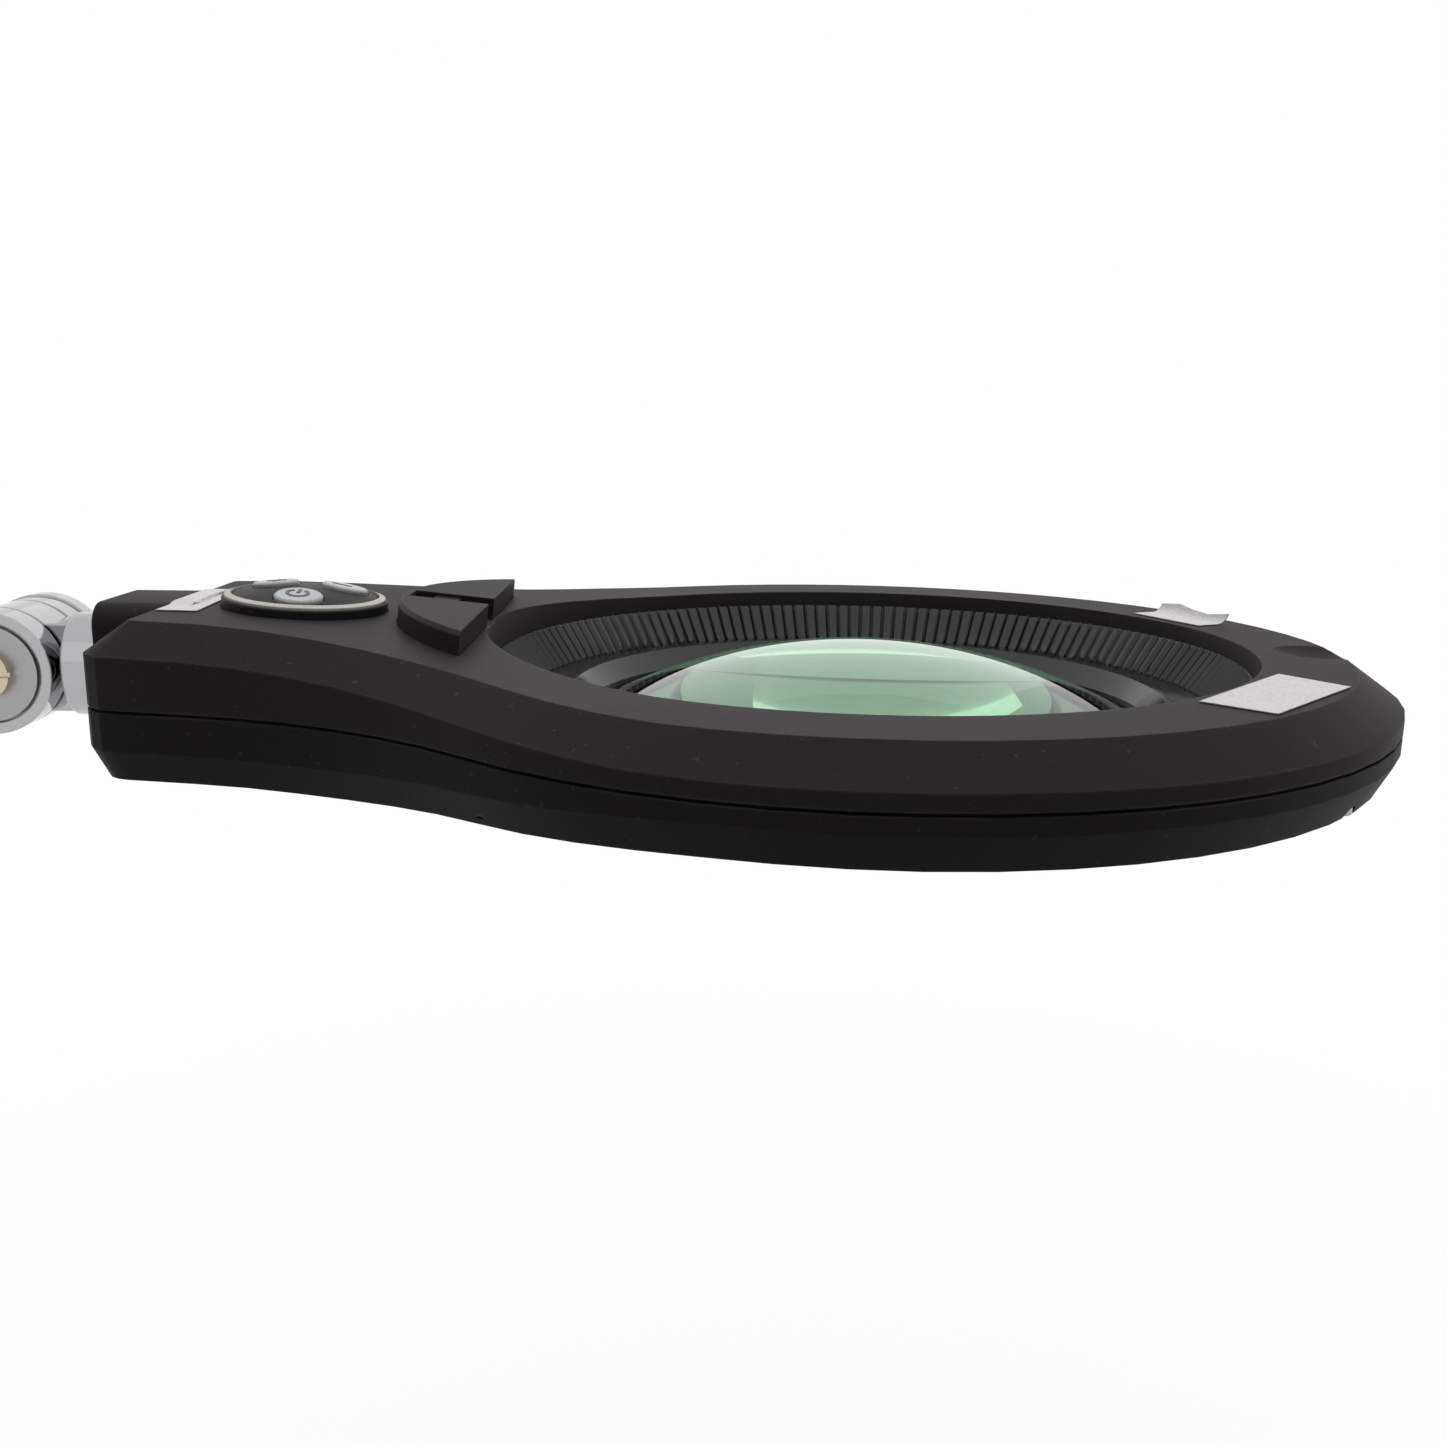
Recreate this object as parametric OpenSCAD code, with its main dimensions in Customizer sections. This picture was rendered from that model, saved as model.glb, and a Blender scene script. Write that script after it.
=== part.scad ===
// Illuminated bench magnifier head on its friction knuckle.
// +X runs from the arm to the tip of the head, +Z is up, and the origin is the middle of the arm spigot.
// Head pieces are drawn about the lens axis, with z = 0 on the seam between the two shells.

/* [Head shell] */
// Outer radius of the ring at the seam
ring_r = 108.5; // [104:0.5:114]
// Distance from the lens axis to the rear wall
handle_l = 157; // [152:1:175]
// Half width of the handle at its rear wall
rear_half = 40; // [37:0.5:42]
// Widening of each handle side towards the ring, per mm of length
handle_flare = 0.2; // [0.15:0.01:0.24]
// Radius of the hollow curve between handle and ring
blend_r = 110; // [90:1:130]
// Radius of the rear corners in plan
corner_r = 10; // [9.6:0.1:12]
// Height of the ring above the seam
top_h = 9.3; // [9:0.1:10]
// Depth of the ring below the seam
base_h = 9.6; // [9.4:0.1:10.4]
// Extra height of the handle above the ring
rear_rise = 7.2; // [6:0.1:8]
// Extra depth of the handle below the ring
rear_drop = 4.4; // [3.6:0.1:5]
// Width of the upper chamfer in plan
bevel_w = 8.5; // [7:0.1:9]
// Height of the upper chamfer
bevel_h = 6; // [5.4:0.1:6.2]
// Width of the lower chamfer in plan
foot_w = 3; // [2:0.1:4]
// Height of the lower chamfer
foot_h = 6.2; // [5:0.1:6.4]
// Wall thickness of both shells
wall = 2.4; // [2:0.1:2.8]
// Height of the shadow gap along the seam
seam_h = 0.6; // [0.4:0.1:1]
// Depth of the shadow gap
seam_d = 0.9; // [0.6:0.1:1.2]
// Radius of the lens well under its flared lip
well_r = 81.3; // [80.5:0.1:82]
// Height of the flared lip's foot above the seam
lip_z = 6; // [5.6:0.1:6.4]
// Outward flare of the lip per mm of height
lip_flare = 0.3; // [0.2:0.02:0.36]
// Wall thickness of the well tube
well_wall = 4.2; // [3.6:0.1:4.4]
// Radius of the dished thumb notch's ball
notch_r = 24; // [20:1:40]
// Depth of the thumb notch
notch_d = 1.7; // [0.8:0.1:1.8]
// Angle of the thumb notch from the tip
notch_ang = -9; // [-30:1:30]

/* [Lens cartridge] */
// Lens radius
lens_r = 63.5; // [62.5:0.1:63.7]
// Radius of curvature of the upper lens face
lens_curve_r = 130; // [125:1:160]
// Radius of curvature of the lower lens face
lens_under_r = 400; // [300:5:600]
// Thickness of the lens at its edge
lens_edge = 2.5; // [2:0.1:2.8]
// Number of grip flutes
flutes = 160; // [80:8:176]
// Depth of a flute
flute_d = 0.9; // [0.6:0.1:1.1]
// Radius of the flat shelf's outer edge
shelf_r = 74.4; // [73.5:0.1:75]
// Radius of the tube that carries the lens
tube_r = 69; // [68.6:0.1:69.4]
// Gap between the cartridge and the shells
turn_gap = 0.3; // [0.25:0.05:0.5]

/* [Control panel] */
// Distance from the lens axis to the panel centre
panel_a = 122; // [120:0.5:124]
// Panel half length along the handle
panel_l = 17; // [16:0.5:18]
// Panel half width across the handle
panel_w = 20; // [19:0.5:21]
// Sideways shift of the panel from the handle's middle line
panel_shift = -3; // [-4:0.5:0]
// Height of the dome above the rim
dome_h = 2.8; // [2:0.1:3.2]
// Height of the rim above the handle
rim_h = 1.6; // [1.2:0.1:2]
// Button radius
button_r = 4.9; // [4.4:0.1:5.1]
// Height of a button above the dome
button_h = 0.7; // [0.5:0.1:1]
// Gap around a button
button_gap = 0.3; // [0.25:0.05:0.4]
// Travel of a button
button_travel = 0.7; // [0.4:0.1:0.8]

/* [Cover hinge block] */
// Distance from the lens axis to the block's straight edge
block_a = 83; // [82.6:0.1:84]
// Half length of the straight edge
block_half = 44; // [38:1:46]
// Depth of the half moon along the handle
block_d = 19; // [17:0.5:20]
// Height of the block above the handle
block_h = 4.6; // [4:0.1:5.4]
// Width of the hinge slot
slot_w = 9; // [7:0.5:11]

/* [Knuckle] */
// Distance from the knuckle axis to the lens axis
reach = 186; // [184:1:200]
// Drop of the shell seam below the stem axis
seam_drop = 2; // [1:0.1:2.6]
// Radius of the knuckle discs
disc_r = 13; // [12:0.1:13.6]
// Half thickness of the eye between the ears
eye_half = 5.5; // [5:0.1:6]
// Thickness of a friction washer
washer_t = 0.8; // [0.6:0.1:1.2]
// Thickness of each ear
ear_t = 6.6; // [6:0.1:8]
// Radius of the pivot screw's shank
pivot_r = 4; // [3:0.1:4.6]
// Running clearance on the pivot and the stem
run_gap = 0.08; // [0.04:0.01:0.1]
// Stem radius
stem_r = 10.5; // [10:0.1:11]
// Arm spigot radius
spigot_r = 8; // [6:0.1:9]
// Arm spigot length
spigot_l = 24; // [16:1:36]
// Thickness of the bridge between spigot and ears
bridge_t = 10; // [8:0.5:14]

/* [Lamp] */
// Number of lamp chips
led_count = 60; // [24:4:72]
// Inner radius of the lamp window
window_in = 88; // [87.6:0.1:89]
// Outer radius of the lamp window
window_out = 98; // [96:0.1:98.4]
// Height of the lamp board's underside below the seam
lamp_z = 2.6; // [2.2:0.1:3]
// Thickness of a circuit board
board_t = 1.6; // [1:0.1:1.8]

/* [Hidden] */
$fn = 96;
shell_fn = 108;
eps = 0.01;
facet_gap = 0.04;
big = 400;

// places along the arm
knuckle_x = spigot_l / 2 + bridge_t + disc_r + 1;
lens_x = knuckle_x + reach;
ear_in = eye_half + washer_t;
ear_out = ear_in + ear_t;
neck_end = disc_r + 1;

// shell heights, as functions of the distance a from the lens axis towards the handle
rise_from = 40;
rise_to = 145;
drop_from = 30;
drop_to = 115;
function ease(t) = let (s = min(max(t, 0), 1)) s * s * (3 - 2 * s);
function top_z(a) = top_h + rear_rise * ease((a - rise_from) / (rise_to - rise_from));
function base_z(a) = -base_h - rear_drop * ease((a - drop_from) / (drop_to - drop_from));

// plan outline, moved inwards by o: tip arc, hollow blend, handle side, corner, rear wall
side_len = sqrt(1 + handle_flare * handle_flare);
side_n = [handle_flare, 1] / side_len;
side_u = [1, -handle_flare] / side_len;
rear_pt = [handle_l, rear_half];
blend_base = rear_pt + blend_r * side_n;
blend_b = blend_base * side_u;
blend_c = blend_base * blend_base - pow(ring_r + blend_r, 2);
blend_mid = blend_base + (-blend_b + sqrt(blend_b * blend_b - blend_c)) * side_u;
meet_ang = atan2(blend_mid[1], blend_mid[0]);
side_ang = atan2(side_n[1], side_n[0]);
corner_mid = let (a = handle_l - corner_r)
    [a, rear_half - corner_r * side_len - handle_flare * (a - handle_l)];
tip_steps = 22;
blend_steps = 6;
corner_steps = 4;
function polar(r, ang) = r * [cos(ang), sin(ang)];
function half_outline(o) = concat(
    [for (i = [0:tip_steps]) polar(ring_r - o, 180 - (180 - meet_ang) * i / tip_steps)],
    [for (i = [1:blend_steps])
        blend_mid - polar(blend_r + o, meet_ang + (side_ang - meet_ang) * i / blend_steps)],
    [for (i = [0:corner_steps]) corner_mid + polar(corner_r - o, side_ang * (1 - i / corner_steps))],
    [[handle_l - o, 0]]);
half_n = tip_steps + blend_steps + corner_steps + 3;
ring_n = 2 * half_n - 2;
function level(o, height) = let (h = half_outline(o)) concat(
    [for (i = [0:half_n - 1]) [-h[i][0], i == 0 ? 0 : h[i][1], height(h[i][0])]],
    [for (i = [half_n - 2:-1:1]) [-h[i][0], -h[i][1], height(h[i][0])]]);

// closed solid through a stack of levels, lowest first
module loft(levels) {
    last = (len(levels) - 1) * ring_n;
    points = [for (l = levels) for (p = l) p];
    sides = [for (k = [0:len(levels) - 2]) for (i = [0:ring_n - 1])
        let (a = k * ring_n + i, b = k * ring_n + (i + 1) % ring_n)
            for (f = [[a, a + ring_n, b + ring_n], [a, b + ring_n, b]]) f];
    strips = [for (i = [1:half_n - 3]) [i, i + 1, ring_n - i - 1, ring_n - i]];
    ends = [[0, 1, ring_n - 1], [half_n - 2, half_n - 1, half_n]];
    caps = concat(strips, ends);
    lids = [for (f = caps) [for (j = [len(f) - 1:-1:0]) f[j] + last]];
    polyhedron(points, concat(sides, caps, lids));
}

bevel_slope = bevel_h / bevel_w;
bevel_drop = wall * sqrt(1 + bevel_slope * bevel_slope);
bevel_in = (bevel_h - wall + bevel_drop) / bevel_slope;
foot_slope = foot_h / foot_w;
foot_in = foot_w + wall * (sqrt(1 + foot_slope * foot_slope) - 1) / foot_slope;

module upper_solid() loft([
    level(seam_d, function(a) 0), level(seam_d, function(a) seam_h / 2),
    level(0, function(a) seam_h / 2),
    level(0, function(a) top_z(a) - bevel_h), level(bevel_w, function(a) top_z(a))]);
module upper_hollow() loft([
    level(wall, function(a) -1),
    level(wall, function(a) top_z(a) - bevel_h + wall * bevel_slope - bevel_drop),
    level(bevel_in, function(a) top_z(a) - wall)]);
module lower_solid() loft([
    level(foot_w, function(a) base_z(a)), level(0, function(a) base_z(a) + foot_h),
    level(0, function(a) -seam_h / 2), level(seam_d, function(a) -seam_h / 2),
    level(seam_d, function(a) 0)]);
module lower_hollow() loft([
    level(foot_in, function(a) base_z(a) + wall), level(wall, function(a) base_z(a) + foot_h),
    level(wall, function(a) 1)]);

module at_head() translate([lens_x, 0, -seam_drop]) children();
module along_x(x) translate([x, 0, 0]) rotate([0, 90, 0]) children();
module tube(r, hole, h) difference() {
    cylinder(r = r, h = h);
    translate([0, 0, -1]) cylinder(r = hole, h = h + 2);
}
module box(size, at) translate(at - [size[0], size[1], 0] / 2) cube(size);

// boss that takes the stem, split along the seam
boss_half = 15.5;
boss_round = 5;
boss_end = handle_l + 6;
boss_in = handle_l - 14;
bush_r = stem_r + 3;
bush_end = boss_end + 0.5;
bush_l = 18;
nut_gap = 0.15;
module stem_boss() translate([-boss_end, 0, seam_drop]) rotate([0, 90, 0])
    linear_extrude(boss_end - boss_in) difference() {
        square(2 * boss_half - 1, center = true);
        for (s = [-1, 1], t = [-1, 1]) translate([s, t] * (boss_half - 0.5)) difference() {
            square(2 * boss_round, center = true);
            translate([-s, -t] * boss_round) circle(boss_round);
        }
    }
module stem_hole() translate([-boss_end - 1, 0, seam_drop]) rotate([0, 90, 0])
    cylinder(r = bush_r + facet_gap, h = boss_end - boss_in + 2, $fn = 60);
stem_in = boss_in - 4;
module above() translate([-big / 2, -big / 2, 0]) cube(big);
module below() translate([-big / 2, -big / 2, -big]) cube(big);

// screw posts: four round the ring between the lamp windows, two beside the stem
post_r = 3.3;
screw_r = 1.5;
head_r = 2.8;
head_h = 2;
head_gap = 0.3;
post_ring_r = ring_r - wall - post_r + 0.4;
post_tip = 3.6;
handle_post = [handle_l - 26, rear_half - 12];
posts = concat(
    [for (k = [0:3]) let (p = polar(post_ring_r, 45 + 90 * k)) [p[0], p[1], base_h]],
    [for (s = [-1, 1]) [-handle_post[0], s * handle_post[1], -base_z(handle_post[0])]]);
module each_post() for (p = posts) translate([p[0], p[1], 0]) {
    $deep = p[2];
    children();
}

// control panel frame: on the handle's slope
panel_step = 4;
panel_tilt = atan((top_z(panel_a + panel_step) - top_z(panel_a - panel_step)) / (2 * panel_step));
panel_seat = 1;
panel_gap = 0.15;
module at_panel() at_head() translate([-panel_a, panel_shift, top_z(panel_a)])
    rotate([0, panel_tilt, 0]) children();
module oval(l, w) scale([1, w / l, 1]) children();
module oval_hole(r, z, h) translate([0, 0, z]) linear_extrude(h)
    scale([1, panel_w / panel_l]) circle(r, $fn = dome_fn);
function dome_z(p) = rim_h + dome_h * (1 - pow(p[0] / panel_l, 2) - pow(p[1] / panel_w, 2));
plus_at = [-7, 2];
minus_at = [7.3, 4];
power_at = [1.5, -11.8];
switch_h = 1;
switch_r = 2;
nub_r = 1.2;
nub_gap = 0.2;
pad_drop = 4.4;
nub_end = pad_drop - button_travel - nub_gap;
button_end = 2.4;
button_board_z = -pad_drop - switch_h - board_t;
module at_button(p) translate([p[0], p[1], dome_z(p)])
    rotate([-atan(2 * dome_h * p[1] / pow(panel_w, 2)), atan(2 * dome_h * p[0] / pow(panel_l, 2)), 0])
        children();
dome_steps = 5;
dome_fn = 48;

// hinge block frame: on the slope between ring and handle
block_mid = block_a + block_d / 2;
block_tilt = atan((top_z(block_a + block_d) - top_z(block_a)) / block_d);
block_sink = 1;
block_z = top_z(block_mid);
block_arc = (block_half * block_half + block_d * block_d) / (2 * block_d);
module at_block() at_head() translate([-block_mid, 0, block_z]) rotate([0, block_tilt, 0]) children();
module half_moon(grow, h) intersection() {
    translate([block_arc - block_d / 2, 0, 0]) cylinder(r = block_arc + grow, h = h);
    translate([-big + block_d / 2 + grow, -big / 2, 0]) cube([big, big, h]);
}

// ---- knuckle -------------------------------------------------------------
module disc_y(r, y0, y1) translate([knuckle_x, y0, 0]) rotate([-90, 0, 0]) cylinder(r = r, h = y1 - y0);
cap_r = disc_r - 2.8;
cap_groove = 0.45;
cap_sink = 1.2;
head_slot_w = 1.1;
module arm_yoke() color("silver") difference() {
    union() {
        along_x(-spigot_l / 2) cylinder(r = spigot_r, h = spigot_l + 1);
        for (s = [-1, 1]) {
            disc_y(disc_r, s > 0 ? ear_in : -ear_out, s > 0 ? ear_out : -ear_in);
            translate([spigot_l / 2, s > 0 ? ear_in : -ear_out, -disc_r + 3.5])
                cube([knuckle_x - spigot_l / 2, ear_t, 2 * disc_r - 7]);
        }
        translate([spigot_l / 2, -ear_out, -disc_r + 3.5]) cube([bridge_t, 2 * ear_out, 2 * disc_r - 7]);
    }
    disc_y(pivot_r + 0.02, -ear_out - 1, ear_out + 1);
    disc_y(cap_r + cap_groove, -ear_out - 1, -ear_out + cap_sink);
    along_x(-spigot_l / 2 - 1) cylinder(r = spigot_r - 3, h = spigot_l + bridge_t - 2);
}
module friction_washers() color("dimgray") for (s = [-1, 1])
    difference() {
        disc_y(disc_r - 1, s > 0 ? eye_half + 0.05 : -ear_in, s > 0 ? ear_in : -eye_half - 0.05);
        disc_y(pivot_r + 0.02, -ear_in - 1, ear_in + 1);
    }
cap_proud = 0.4;
screw_proud = 2.8;
cap_h = screw_proud + 1.4;
screw_head_r = 5.1;
screw_head_h = 2;
module pivot_screw() color("tan") difference() {
    union() {
        disc_y(pivot_r, -ear_out - cap_proud, ear_out + screw_proud);
        disc_y(screw_head_r, -ear_out - cap_proud - screw_head_h, -ear_out - cap_proud);
    }
    translate([knuckle_x - disc_r, -ear_out - cap_proud - screw_head_h - 1, -head_slot_w / 2])
        cube([2 * disc_r, 2, head_slot_w]);
}
module near_cap() color("lightgray") difference() {
    disc_y(cap_r, -ear_out - cap_proud, -ear_out + cap_sink);
    disc_y(pivot_r, -ear_out - 2, ear_out);
}
nut_af = 11;
nut_h = 2.6;
module pivot_nut() color("gray") difference() {
    translate([knuckle_x, ear_out, 0]) rotate([-90, 0, 0]) cylinder(r = nut_af / sqrt(3), h = nut_h, $fn = 6);
    disc_y(pivot_r, ear_out - 1, ear_out + nut_h + 1);
}
module far_cap() color("silver") difference() {
    disc_y(disc_r + 0.4, ear_out, ear_out + cap_h);
    disc_y(nut_af / sqrt(3) + 0.4, ear_out - 1, ear_out + screw_proud + 0.4);
}
collar_r = stem_r + 0.7;
collar_l = lens_x - bush_end - nut_gap - knuckle_x - neck_end;
module head_stem() color("silver") difference() {
    union() {
        disc_y(disc_r, -eye_half, eye_half);
        translate([knuckle_x, -eye_half, -stem_r + 1]) cube([neck_end + 1, 2 * eye_half, 2 * stem_r - 2]);
        along_x(knuckle_x + neck_end) cylinder(r = stem_r, h = lens_x - knuckle_x - neck_end - stem_in);
        along_x(knuckle_x + neck_end) cylinder(r = collar_r, h = collar_l);
    }
    disc_y(pivot_r + run_gap, -eye_half - 1, eye_half + 1);
}
stem_nut_l = 3;
module stem_nut() color("goldenrod") along_x(lens_x - bush_end + bush_l + nut_gap)
    tube(stem_r + 2.5, stem_r, stem_nut_l);
module stem_bush() color("dimgray") along_x(lens_x - bush_end) tube(bush_r, stem_r + run_gap, bush_l);

// ---- shells --------------------------------------------------------------
module upper_housing() color([0.21, 0.2, 0.2]) minkowski() difference($fn = 24) {
    at_head() difference() {
        union() {
            difference() {
                upper_solid();
                difference() {
                    upper_hollow();
                    translate([0, 0, -2]) cylinder(r = well_r + well_wall, h = big, $fn = shell_fn);
                    each_post() cylinder(r = post_r, h = 30);
                    intersection() {
                        translate([0, 0, -2]) stem_boss();
                        above();
                    }
                }
            }
            intersection() {
                stem_boss();
                above();
            }
        }
        translate([0, 0, -1]) cylinder(r = well_r, h = lip_z + 1 + eps, $fn = shell_fn);
        translate([0, 0, lip_z]) cylinder(r1 = well_r, r2 = well_r + lip_flare * 20, h = 20, $fn = shell_fn);
        each_post() translate([0, 0, -1]) cylinder(r = screw_r + facet_gap, h = post_tip + 1);
        stem_hole();
        rotate(notch_ang) translate([ring_r - bevel_w - 4, 0, top_h + notch_r - notch_d])
            sphere(notch_r, $fn = 60);
    }
    at_panel() {
        oval_hole(panel_l + panel_gap, -panel_seat, 10);
        for (p = [plus_at, minus_at, power_at]) at_button(p)
            translate([0, 0, -12]) cylinder(r = button_r + button_gap, h = 20);
    }
    at_block() translate([0, 0, -block_sink]) half_moon(panel_gap, 20, $fn = shell_fn);
}
ledge_z = -4.2;
spoke_ang = 12;
module arc_ring(r_in, r_out, z, h, ang) translate([0, 0, z])
    rotate_extrude(angle = ang, $fn = 90) translate([r_in, 0]) square([r_out - r_in, h]);
module each_window(trim) for (k = [0:3]) rotate(90 * k + spoke_ang / 2 + trim) children();
driver_z = -6;
driver_size = [30, 46];
driver_a = 118;
driver_holes = [for (s = [-1, 1], t = [-1, 1])
    [-driver_a + s * (driver_size[0] / 2 - 4), t * (driver_size[1] / 2 - 4)]];
module lower_housing() color([0.17, 0.16, 0.16]) minkowski() at_head() difference($fn = 24) {
    union() {
        difference() {
            lower_solid();
            difference() {
                lower_hollow();
                translate([0, 0, -big / 2]) cylinder(r = well_r + well_wall, h = big, $fn = shell_fn);
                each_post() translate([0, 0, -$deep]) cylinder(r = post_r, h = $deep + 1);
                for (p = driver_holes) translate([p[0], p[1], -30]) cylinder(r = 3, h = 30 + driver_z);
                for (k = [0:3]) rotate(90 * k) translate([well_r, -1.5, -base_h])
                    cube([window_out - well_r, 3, base_h - lamp_z]);
                intersection() {
                    translate([0, 0, 2]) stem_boss();
                    below();
                }
            }
        }
        intersection() {
            stem_boss();
            below();
        }
    }
    translate([0, 0, ledge_z - turn_gap]) cylinder(r = well_r, h = big, $fn = shell_fn);
    translate([0, 0, -big / 2]) cylinder(r = tube_r + turn_gap, h = big, $fn = shell_fn);
    each_post() {
        translate([0, 0, -$deep - 1]) cylinder(r = screw_r + 0.3, h = $deep + 2);
        translate([0, 0, -$deep - 1]) cylinder(r = head_r + head_gap, h = head_h + head_gap + 1);
    }
    for (p = driver_holes) translate([p[0], p[1], driver_z - 4]) cylinder(r = 1 + facet_gap, h = 10);
    each_window(0) arc_ring(window_in, window_out, -base_h - 1, wall + 2, 90 - spoke_ang);
    stem_hole();
}
module housing_screws() color("dimgray") at_head() each_post() difference() {
    union() {
        translate([0, 0, -$deep + head_gap]) cylinder(r = head_r, h = head_h);
        translate([0, 0, -$deep + head_gap]) cylinder(r = screw_r, h = $deep + post_tip - head_gap - 0.4);
    }
    for (r = [0, 90]) rotate(r) box([3.2, 0.8, 1.2], [0, 0, -$deep + head_gap - 0.2]);
}

// ---- controls ------------------------------------------------------------
ring_line = 1.3;
ring_in = panel_l - ring_line - 0.5;
function dome_arc(r0, r1) = [for (i = [0:dome_steps]) let (r = r0 + (r1 - r0) * i / dome_steps)
    [r, rim_h + dome_h * (1 - pow(r / panel_l, 2))]];
line_sink = 0.5;
module control_panel() color([0.13, 0.13, 0.13]) at_panel() difference() {
    oval(panel_l, panel_w) difference() {
        rotate_extrude($fn = dome_fn)
            polygon(concat([[0, -panel_seat]], dome_arc(0, panel_l - 0.3),
                [[panel_l, rim_h], [panel_l, -panel_seat]]));
        rotate_extrude($fn = dome_fn)
            polygon([[ring_in, rim_h - line_sink], [ring_in, 9], [ring_in + ring_line, 9],
                [ring_in + ring_line, rim_h - line_sink]]);
    }
    for (p = [plus_at, minus_at, power_at]) at_button(p)
        translate([0, 0, -12]) cylinder(r = button_r + button_gap, h = 20);
}
module panel_ring() color("gainsboro") at_panel() oval(panel_l, panel_w) rotate_extrude($fn = dome_fn)
    polygon([[ring_in, rim_h - line_sink], [ring_in, rim_h + 1.1], [ring_in + ring_line, rim_h + 0.62],
        [ring_in + ring_line, rim_h - line_sink]]);
button_edge = 0.4;
module button(p) at_panel() at_button(p) {
    translate([0, 0, -dome_z(p) - button_end])
        cylinder(r = button_r, h = dome_z(p) + button_end + button_h - button_edge);
    translate([0, 0, -dome_z(p) - nub_end]) cylinder(r = nub_r, h = nub_end);
    translate([0, 0, button_h - button_edge - eps])
        cylinder(r1 = button_r, r2 = button_r - button_edge, h = button_edge);
}
module button_plus() color("lightgray") button(plus_at);
module button_minus() color("lightgray") button(minus_at);
module button_power() color("lightgray") button(power_at);
pillar_r = 2;
board_l = 15;
board_w = 20;
module button_board() color("darkgreen") at_panel() {
    box([2 * board_l, 2 * board_w, board_t], [0, 0, button_board_z]);
    for (s = [-1, 1]) translate([0, s * (board_w - pillar_r - 0.4), button_board_z + board_t - eps])
        cylinder(r = pillar_r, h = -button_board_z - board_t - wall - 0.1);
}
module dome_switches() color("silver") at_panel() for (p = [plus_at, minus_at, power_at])
    translate([p[0], p[1], button_board_z + board_t]) cylinder(r = switch_r, h = switch_h);
module driver_board() color("darkgreen") at_head() difference() {
    box([driver_size[0], driver_size[1], board_t], [-driver_a, 0, driver_z]);
    for (p = driver_holes) translate([p[0], p[1], driver_z - 1]) cylinder(r = 1.3, h = 4);
}
module driver_parts() color("black") at_head() {
    top = driver_z + board_t;
    box([10, 10, 4], [-driver_a - 2, -10, top]);
    for (s = [-1, 1]) translate([-driver_a + 7, 6 * s, top]) cylinder(r = 2.5, h = 5);
    box([6, 5, 1.6], [-driver_a - 4, 8, top]);
}
module driver_screws() color("silver") at_head() for (p = driver_holes) translate([p[0], p[1], driver_z]) {
    translate([0, 0, board_t]) cylinder(r = 2, h = 1.4);
    translate([0, 0, -3.6]) cylinder(r = 1, h = board_t + 3.6 + eps);
}
lead_r = 0.7;
lead_y = 2.8;
lead_z = driver_z + board_t + lead_r;
lead_from = driver_a - driver_size[0] / 2 + 1;
module lamp_lead() color("firebrick") at_head() for (s = [-1, 1]) {
    translate([-lead_from, s * lead_y, lead_z]) rotate([0, 90, 0])
        cylinder(r = lead_r, h = lead_from - lamp_out + 1);
    translate([-lamp_out + 1, s * lead_y, lead_z - lead_r])
        cylinder(r = lead_r, h = -lamp_z - lead_z + lead_r);
}

// ---- lamp ----------------------------------------------------------------
lamp_in = well_r + well_wall + 0.4;
lamp_out = 99.2;
chip = [3.2, 2.8, 1.2];
module lamp_board() color("whitesmoke") at_head() translate([0, 0, -lamp_z]) tube(lamp_out, lamp_in, board_t);
module lamp_chips() color("khaki") at_head() for (k = [0:led_count - 1]) rotate((k + 0.5) * 360 / led_count)
    box(chip, [(window_in + window_out) / 2, 0, -lamp_z - chip[2]]);
flange_w = 0.9;
window_gap = 0.15;
module diffuser() color([0.93, 0.93, 0.9]) at_head() {
    each_window(0.3)
        arc_ring(window_in + window_gap, window_out - window_gap, -base_h, wall + eps, 89.4 - spoke_ang);
    each_window(-0.6)
        arc_ring(window_in - flange_w, window_out + flange_w, -base_h + wall, 1, 91.2 - spoke_ang);
}

// ---- cover hinge ---------------------------------------------------------
web_l = 5.5;
web_sink = 0.8;
slot_l = 17.2;
slot_deep = 3;
step_l = 7.2;
block_floor = 0.8;
block_bevel = 0.8;
module hinge_block() color([0.24, 0.23, 0.23]) at_block() difference() {
    union() {
        translate([0, 0, -block_sink]) half_moon(0, block_h + block_sink - block_bevel);
        intersection() {
            translate([block_arc - block_d / 2, 0, block_h - block_bevel])
                cylinder(r1 = block_arc, r2 = block_arc - block_bevel, h = block_bevel);
            translate([-big + block_d / 2, -big / 2, 0]) cube(big);
        }
    }
    difference() {
        translate([block_d / 2 - slot_l, -slot_w / 2, block_h - slot_deep]) cube([slot_l + 1, slot_w, 9]);
        translate([block_d / 2 - step_l - web_l, -slot_w, -block_sink])
            cube([web_l, 2 * slot_w, block_h + block_sink - web_sink]);
    }
    translate([block_d / 2 - step_l, -slot_w / 2, block_floor - block_sink]) cube([step_l + 1, slot_w, 9]);
}

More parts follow.
